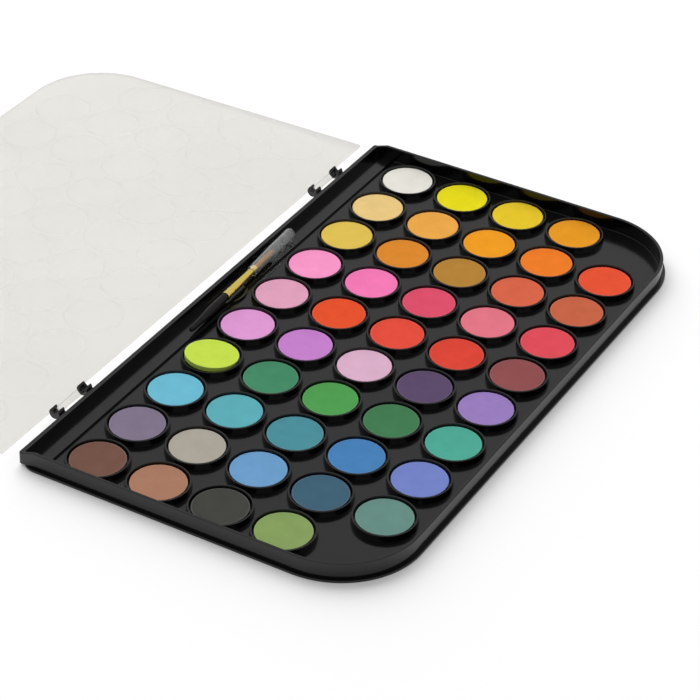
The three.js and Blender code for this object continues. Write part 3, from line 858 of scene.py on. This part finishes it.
# %% [markdown]
# The lid is a flat sheet of clear polystyrene with the tray's outline. Two arms reach back from its
# hinge edge to a hub on the hinge's axis, and a pin sticks out of each end of a hub. It is modelled
# shut, where its outline is easy to follow, and then laid back about the axis.
# %% Lid
LID_THICKNESS = 1.1 * MM
LID_GAP = 0.3 * MM
LID_END_OVERHANG = 0.5 * MM
LID_FREE_OVERHANG = 0.9 * MM
LID_HINGE_SETBACK = 1.7 * MM
LID_FREE_CORNER = 36.0 * MM
LID_HINGE_CORNER = 1.0 * MM
LID_EDGE = 0.2 * MM
LID_BOTTOM = RIM_Z + LID_GAP
LID_TOP = LID_BOTTOM + LID_THICKNESS
LID_HINGE_EDGE = HINGE_FACE_Y - LID_HINGE_SETBACK
HUB_RADIUS = 1.5 * MM
PIN_END_GAP = 0.2 * MM
PIN_LENGTH = TAB_WIDTH + 2 * (TAB_GAP + CLIP_WIDTH - CLIP_END - PIN_END_GAP)
# The sheet's grey is its own slight tint plus painted shade: the shadow it doesn't throw on the table.
DARKER_TINT_AND_PAINTED_SHADE = (0.685, 0.676, 0.652)
PALER_TINT_AND_PAINTED_SHADE = (0.708, 0.699, 0.676)


def make_arm(centre_x):
    """From the sheet's edge the arm slopes down and thickens into the hub."""
    arm = block("arm", (centre_x - TAB_WIDTH / 2, LID_HINGE_EDGE - LID_THICKNESS, LID_BOTTOM),
                (centre_x + TAB_WIDTH / 2, LID_HINGE_EDGE, LID_TOP))
    edit(arm)
    pick(arm, lambda co, normal: normal.y > 0.9)
    bpy.ops.mesh.extrude_region_move(TRANSFORM_OT_translate={"value": (0, HINGE.y - LID_HINGE_EDGE, 0)})
    pick(arm, lambda co: co.y > HINGE.y - SLACK and co.z > LID_TOP - SLACK, "VERT")
    bpy.ops.transform.translate(value=(0, 0, HINGE.z + HUB_RADIUS - LID_TOP))
    pick(arm, lambda co: co.y > HINGE.y - SLACK and abs(co.z - LID_BOTTOM) < SLACK, "VERT")
    bpy.ops.transform.translate(value=(0, -HUB_RADIUS, HINGE.z - LID_BOTTOM))
    done(arm)
    return tidy_normals(arm)


def make_lid():
    sheet = raised_plate("lid_sheet", OUTER_X + LID_END_OVERHANG, -OUTER_Y - LID_FREE_OVERHANG,
                         LID_HINGE_EDGE, LID_BOTTOM, LID_TOP, LID_FREE_CORNER, LID_HINGE_CORNER)
    for centre in (-TAB_CENTRE, TAB_CENTRE):
        combine(sheet, make_arm(centre))
        combine(sheet, bar("hub", centre, TAB_WIDTH, HUB_RADIUS))
    soften(tidy_normals(sheet), LID_EDGE, 2)
    for centre in (-TAB_CENTRE, TAB_CENTRE):
        combine(sheet, soften(bar("pin", centre, PIN_LENGTH, PIN_RADIUS), LID_EDGE, 2))
    return smooth(tidy_normals(sheet))


def lay_open(piece):
    """Turns what was modelled on the shut lid back about the hinge, until its free edge is down."""
    piece.data.transform(Matrix.Translation(HINGE) @ Matrix.Rotation(-LID_OPENING, 4, "X")
                         @ Matrix.Translation(-HINGE))


def clear_plastic():
    """Clear polystyrene. Its grey is a trace of tint in the mass together with painted shade: the sheet
    throws no shadow, so the shade it would throw on the table under it is painted into its colour. The
    sheet is thin, so it hardly bends the light that goes through, and its gloss comes from a coat that
    is a little wavy from the mould."""
    material, nodes, links, shader = material_named("clear_polystyrene")
    shader.inputs["Transmission Weight"].default_value = 1.0
    shader.inputs["IOR"].default_value = 1.03
    shader.inputs["Roughness"].default_value = 0.0
    drift = ranged(nodes, links, noise(nodes, links, 12.0), 0, 1)
    links.new(mixed(nodes, links, drift, DARKER_TINT_AND_PAINTED_SHADE, PALER_TINT_AND_PAINTED_SHADE), shader.inputs["Base Color"])
    shader.inputs["Coat Weight"].default_value = 0.25
    shader.inputs["Coat IOR"].default_value = 1.45
    links.new(ranged(nodes, links, noise(nodes, links, 90.0), 0.03, 0.08), shader.inputs["Coat Roughness"])
    bumped(nodes, links, shader, noise(nodes, links, 60.0, 1.0), 0.05, 0.3 * MM)
    return material


lid = make_lid()
lay_open(lid)
lid.name = "lid_clear_sheet"
give(lid, clear_plastic())
# The sheet throws no shadow. The shade it would throw on the table is painted into its grey instead.
lid.visible_shadow = False
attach(lid, "lid")
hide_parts("lid")
print("lid:", len(lid.data.polygons), "faces")

# %% [markdown]
# The inside of the lid has a hair-thin ring over every cup. They are so shallow that they only take
# a trace of the light that comes through. One flat ring is spun and copied to the place of each cup,
# and then all of them open with the lid.
# %% Ring marks of the lid
MARK_HEIGHT = 0.03 * MM
MARK_RADIUS = CUP_RADIUS - 0.7 * MM
MARK_WIDTH = 1.1 * MM
SHADED_MARK = (0.972, 0.972, 0.968)
CLEAR_MARK = (0.992, 0.992, 0.988)


def make_mark():
    """A flat ring that sticks out of the sheet by its height, and reaches as far into it."""
    return spun("ring_mark", (MARK_RADIUS, 0, LID_BOTTOM), MARK_WIDTH, 2 * MARK_HEIGHT, 48, 1e-7)


def mark_plastic():
    material, nodes, links, shader = material_named("lid_ring_marks")
    shader.inputs["Transmission Weight"].default_value = 1.0
    shader.inputs["IOR"].default_value = 1.02
    shader.inputs["Roughness"].default_value = 0.0
    links.new(mixed(nodes, links, noise(nodes, links, 40.0), SHADED_MARK, CLEAR_MARK),
              shader.inputs["Base Color"])
    return material


marks = at_every_cup(make_mark(), "lid_ring_marks")
lay_open(marks)
give(marks, mark_plastic())
marks.visible_shadow = False
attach(marks, "lid")
print("marks:", len(CUPS), "with", len(marks.data.polygons), "faces")

# %% [markdown]
# The brush is drawn along X with the ferrule's wide mouth at the origin, as it would lie in a lathe.
# Each finished piece is then turned a little and laid in the trough. The handle is short turned wood
# dipped in black lacquer. Its belly is widest before the neck, and it thins to a rounded tip. A tang
# runs on inside the ferrule. As on a lathe drawing, stations are millimetres: how far along, and the
# radius there. The body's are eased into a curve.
# %% Brush handle
HANDLE_LENGTH = 31.0
TANG_LENGTH = 7.95
TANG_RADIUS = 1.4
BRUSH_FROM_RIB = 1.24 * MM
BRUSH_SLANT = 2.6
CAP_LOW, CAP_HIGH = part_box("brush_cap")
BRUSH_PLACE = Vector((BRUSH_X, TROUGH_EDGE_Y + BRUSH_FROM_RIB, (CAP_LOW.z + CAP_HIGH.z) / 2))
BRUSH_POSE = Matrix.Translation(BRUSH_PLACE) @ Matrix.Rotation(math.radians(BRUSH_SLANT), 4, "Z")
BLACK_LACQUER = (0.003, 0.003, 0.0032)
WORN_LACQUER = (0.006, 0.0055, 0.005)


def eased(stations, between=4):
    """Adds stations on a smooth curve through the given ones."""
    out = []
    for i in range(len(stations) - 1):
        before = stations[max(i - 1, 0)]
        a, b = stations[i], stations[i + 1]
        after = stations[min(i + 2, len(stations) - 1)]
        slope_a = (b[1] - before[1]) / (b[0] - before[0])
        slope_b = (after[1] - a[1]) / (after[0] - a[0])
        span = b[0] - a[0]
        for step in range(between):
            t = step / between
            cube, square = t ** 3, t ** 2
            radius = ((2 * cube - 3 * square + 1) * a[1] + (cube - 2 * square + t) * span * slope_a
                      + (3 * square - 2 * cube) * b[1] + (cube - square) * span * slope_b)
            out.append((a[0] + span * t, radius))
    return out + [stations[-1]]


def lathed(name, stations, steps):
    """Turned about the brush's axis, from stations in millimetres."""
    return turned(name, [(x * MM, radius * MM) for x, radius in stations], steps)


def make_handle():
    end = -HANDLE_LENGTH
    tip = [(end, 0), (end + 0.15, 0.62), (end + 0.45, 0.92), (end + 0.9, 1.12)]
    body = eased([(end + 1.6, 1.24), (0.8 * end, 1.5), (0.62 * end, 1.82), (0.45 * end, 2.1),
                  (0.33 * end, 2.17), (0.2 * end, 2.12), (0.1 * end, 2.0), (-0.9, 1.9)])
    neck = [(-0.45, 1.86), (-0.25, 1.72)]
    tang = [(0.3, TANG_RADIUS), (TANG_LENGTH - 0.05, TANG_RADIUS), (TANG_LENGTH, 0)]
    return lathed("handle_turned", tip + body + neck + tang, 48)


def lacquer():
    material, nodes, links, shader = material_named("black_lacquer")
    tone = noise(nodes, links, 25.0, 2.0, (1, 12, 12))
    links.new(mixed(nodes, links, tone, BLACK_LACQUER, WORN_LACQUER), shader.inputs["Base Color"])
    links.new(ranged(nodes, links, noise(nodes, links, 400.0), 0.26, 0.36), shader.inputs["Roughness"])
    shader.inputs["Specular IOR Level"].default_value = 0.22
    return material


def dress(piece, material, body, node):
    """Lays a finished piece of the brush in the trough, in place of its solid."""
    piece.data.transform(BRUSH_POSE)
    give(piece, material)
    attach(piece, body)
    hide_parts(node)


handle = smooth(make_handle())
dress(handle, lacquer(), "brush", "brush_handle")
print("handle:", len(handle.data.polygons), "faces")

# %% [markdown]
# The ferrule is a seamless tube of plated brass, drawn narrower towards the hair. It is rolled at
# its wide mouth, and two shallow crimps bite into the handle. It is turned as a closed wall: out along
# the outside and back along the bore.
# %% Ferrule
FERRULE_LENGTH = 27.0
FERRULE_RADIUS = 2.15
FERRULE_TIP_RADIUS = 1.5
FERRULE_WALL = 0.3
FERRULE_LIP = 0.06
CRIMPS = (2.5, 6.0)
CRIMP_STEP = 0.35
CRIMP_SECTION = (0, 0.08, 0.15, 0.08, 0)
DEEP_BRASS = (0.93, 0.66, 0.12)
PALE_BRASS = (1.0, 0.84, 0.24)


def ferrule_radius(x):
    """The outer radius in millimetres, x millimetres from the wide mouth."""
    return FERRULE_RADIUS + (FERRULE_TIP_RADIUS - FERRULE_RADIUS) * x / FERRULE_LENGTH


def make_ferrule():
    """A station says how far along it lies, and how far inside the ferrule's outer cone."""
    length = FERRULE_LENGTH
    stations = [(0, FERRULE_WALL), (0, FERRULE_LIP), (0.08, 0)]
    for start in CRIMPS:
        stations += [(start + step * CRIMP_STEP, depth) for step, depth in enumerate(CRIMP_SECTION)]
    stations += [(10, 0), (16, 0), (22, 0), (length - 0.1, 0)]
    stations += [(length, FERRULE_LIP), (length, FERRULE_WALL)]
    stations += [(16, FERRULE_WALL), (8, FERRULE_WALL), (0, FERRULE_WALL)]
    return lathed("ferrule_drawn", [(x, ferrule_radius(x) - inside) for x, inside in stations], 64)


def plated_brass():
    material, nodes, links, shader = material_named("plated_brass")
    drawn = noise(nodes, links, 300.0, 3.0, (0.05, 1, 1))
    links.new(mixed(nodes, links, drawn, DEEP_BRASS, PALE_BRASS), shader.inputs["Base Color"])
    shader.inputs["Metallic"].default_value = 1.0
    links.new(ranged(nodes, links, drawn, 0.18, 0.30), shader.inputs["Roughness"])
    return material


ferrule = smooth(make_ferrule())
dress(ferrule, plated_brass(), "brush", "brush_ferrule")
print("ferrule:", len(ferrule.data.polygons), "faces")

# %% [markdown]
# The tuft is synthetic hair, glued at its root inside the ferrule. Single hairs are laid on a
# sunflower pattern, so they are spread evenly without meeting in rows. Each hair tapers, leans outwards
# a little and ends where the dome of the tuft ends.
# %% Tuft
TUFT_LOW, TUFT_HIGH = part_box("brush_tuft")
TUFT_SPREAD = (TUFT_HIGH.z - TUFT_LOW.z) / 2
TUFT_LENGTH = 18.0
TUFT_ROOT = 2.5
TUFT_DOME = 0.14
HAIRS = 520
HAIR_RADIUS = 0.05 * MM
HAIR_SWAY = 0.04
HAIR_FLARE = 0.9
FLARE_CURVE = 1.5
UNEVEN_TIPS = 0.03
ROOT_RADIUS = 1.02 * MM
ROOT_X = (FERRULE_LENGTH - TUFT_ROOT) * MM
TIP_X = (FERRULE_LENGTH + TUFT_LENGTH) * MM
ROOT_TAN = (0.78, 0.27, 0.06, 1)
TIP_TAN = (0.80, 0.50, 0.24, 1)
STREAK = (0.66, 0.58, 0.50, 1)


def make_hair(length):
    """One tapering hair along X, closed at its root."""
    hair = turned("hair", [(0, 0.8 * HAIR_RADIUS), (0.35 * length, HAIR_RADIUS),
                           (0.8 * length, 0.7 * HAIR_RADIUS), (length, 0)], 5)
    edit(hair, "EDGE")
    pick(hair, lambda co: co.x < SLACK, "EDGE")
    bpy.ops.mesh.edge_face_add()
    done(hair)
    return tidy_normals(hair, 1e-7)


def make_tuft():
    length = TIP_X - ROOT_X
    hair = make_hair(length)
    random.seed(5)
    hairs = []
    for index in range(HAIRS):
        share = math.sqrt((index + 0.5) / HAIRS)
        around = index * math.pi * (3 - math.sqrt(5))
        reach = share * (ROOT_RADIUS - HAIR_RADIUS)
        spread = share * (TUFT_SPREAD - HAIR_RADIUS) - reach
        cut = 1 - TUFT_DOME * share ** 2 - random.uniform(0, UNEVEN_TIPS)
        sway = random.uniform(-HAIR_SWAY, HAIR_SWAY) * MM
        one = copy_of(hair, "hair")
        for vertex in one.data.vertices:
            part = max(0.0, vertex.co.x / length)
            out = reach + spread * HAIR_FLARE * part ** FLARE_CURVE
            vertex.co.y += out * math.cos(around) + sway * part * (1 - part) * math.sin(around)
            vertex.co.z += out * math.sin(around) - sway * part * (1 - part) * math.cos(around)
            vertex.co.x *= cut
        hairs.append(one)
    bpy.data.objects.remove(hair)
    glue = turned("glue", [(0, 0), (0.05 * MM, 0.9 * ROOT_RADIUS), (0.1 * MM, ROOT_RADIUS),
                           (1.4 * MM, ROOT_RADIUS), (1.5 * MM, 0)], 32)
    tuft = join([glue, *hairs], "tuft_of_hair")
    tuft.data.transform(Matrix.Translation((ROOT_X, 0, 0)))
    return smooth(tuft, math.radians(60))


def hair_material():
    """Tan hair, darker at the root and bleached towards the tips."""
    material, nodes, links, shader = material_named("synthetic_hair")
    place = nodes.new("ShaderNodeTexCoord")
    split = nodes.new("ShaderNodeSeparateXYZ")
    links.new(place.outputs["Object"], split.inputs["Vector"])
    lengthwise = ranged(nodes, links, split.outputs["X"], 0, 1, TUFT_LOW.x, TUFT_HIGH.x)
    ramp = nodes.new("ShaderNodeValToRGB")
    ramp.color_ramp.elements[0].color = ROOT_TAN
    ramp.color_ramp.elements[1].color = TIP_TAN
    links.new(lengthwise, ramp.inputs["Fac"])
    streaks = noise(nodes, links, 9000.0, 2.0, (0.02, 1, 1))
    shade = nodes.new("ShaderNodeMix")
    shade.data_type = "RGBA"
    shade.blend_type = "MULTIPLY"
    shade.inputs["B"].default_value = STREAK
    links.new(ramp.outputs["Color"], shade.inputs["A"])
    links.new(ranged(nodes, links, streaks, 0, 0.8), shade.inputs["Factor"])
    links.new(shade.outputs["Result"], shader.inputs["Base Color"])
    shader.inputs["Roughness"].default_value = 0.45
    return material


tuft = make_tuft()
dress(tuft, hair_material(), "brush", "brush_tuft")
print("tuft:", len(tuft.data.polygons), "faces")

# %% [markdown]
# A thin milky sleeve keeps the hair in shape. It grips the ferrule's tip, widens gently, and is
# closed at its far end with a small chamfer. It is a hair slimmer than its solid, so that it slides off
# along the slanting brush without scraping the hinge wall.
# %% Brush cap
CAP_RADIUS = 2.75
CAP_WALL = 0.45
CAP_CLEARANCE = 0.2
CAP_OVERLAP = 3.0
CAP_LENGTH = 37.5
CAP_TAPER = 20.0
CAP_END_WALL = 0.8
CAP_CHAMFER = 0.6


def make_cap():
    """Out along the outside, across the closed end, and back along the bore."""
    start = FERRULE_LENGTH - CAP_OVERLAP
    taper = start + CAP_TAPER
    end = start + CAP_LENGTH
    bore = ferrule_radius(start) + CAP_CLEARANCE
    corner = 0.35 * CAP_CHAMFER
    outside = [(start, bore), (start, bore + CAP_WALL - 0.08), (start + 0.1, bore + CAP_WALL),
               (taper, CAP_RADIUS), (end - CAP_CHAMFER, CAP_RADIUS), (end - corner, CAP_RADIUS - corner)]
    closed_end = [(end, CAP_RADIUS - CAP_CHAMFER), (end, 0), (end - CAP_END_WALL, 0)]
    inside = [(end - CAP_END_WALL, CAP_RADIUS - CAP_WALL), (taper, CAP_RADIUS - CAP_WALL), (start, bore)]
    return lathed("cap_sleeve", outside + closed_end + inside, 64)


def milky_plastic():
    material, nodes, links, shader = material_named("milky_plastic")
    shader.inputs["Base Color"].default_value = (0.93, 0.955, 0.935, 1)
    shader.inputs["Transmission Weight"].default_value = 0.915
    shader.inputs["IOR"].default_value = 1.2
    links.new(ranged(nodes, links, noise(nodes, links, 250.0), 0.20, 0.28), shader.inputs["Roughness"])
    return material


cap = smooth(make_cap())
dress(cap, milky_plastic(), "brush_cap", "brush_cap")
print("cap:", len(cap.data.polygons), "faces")
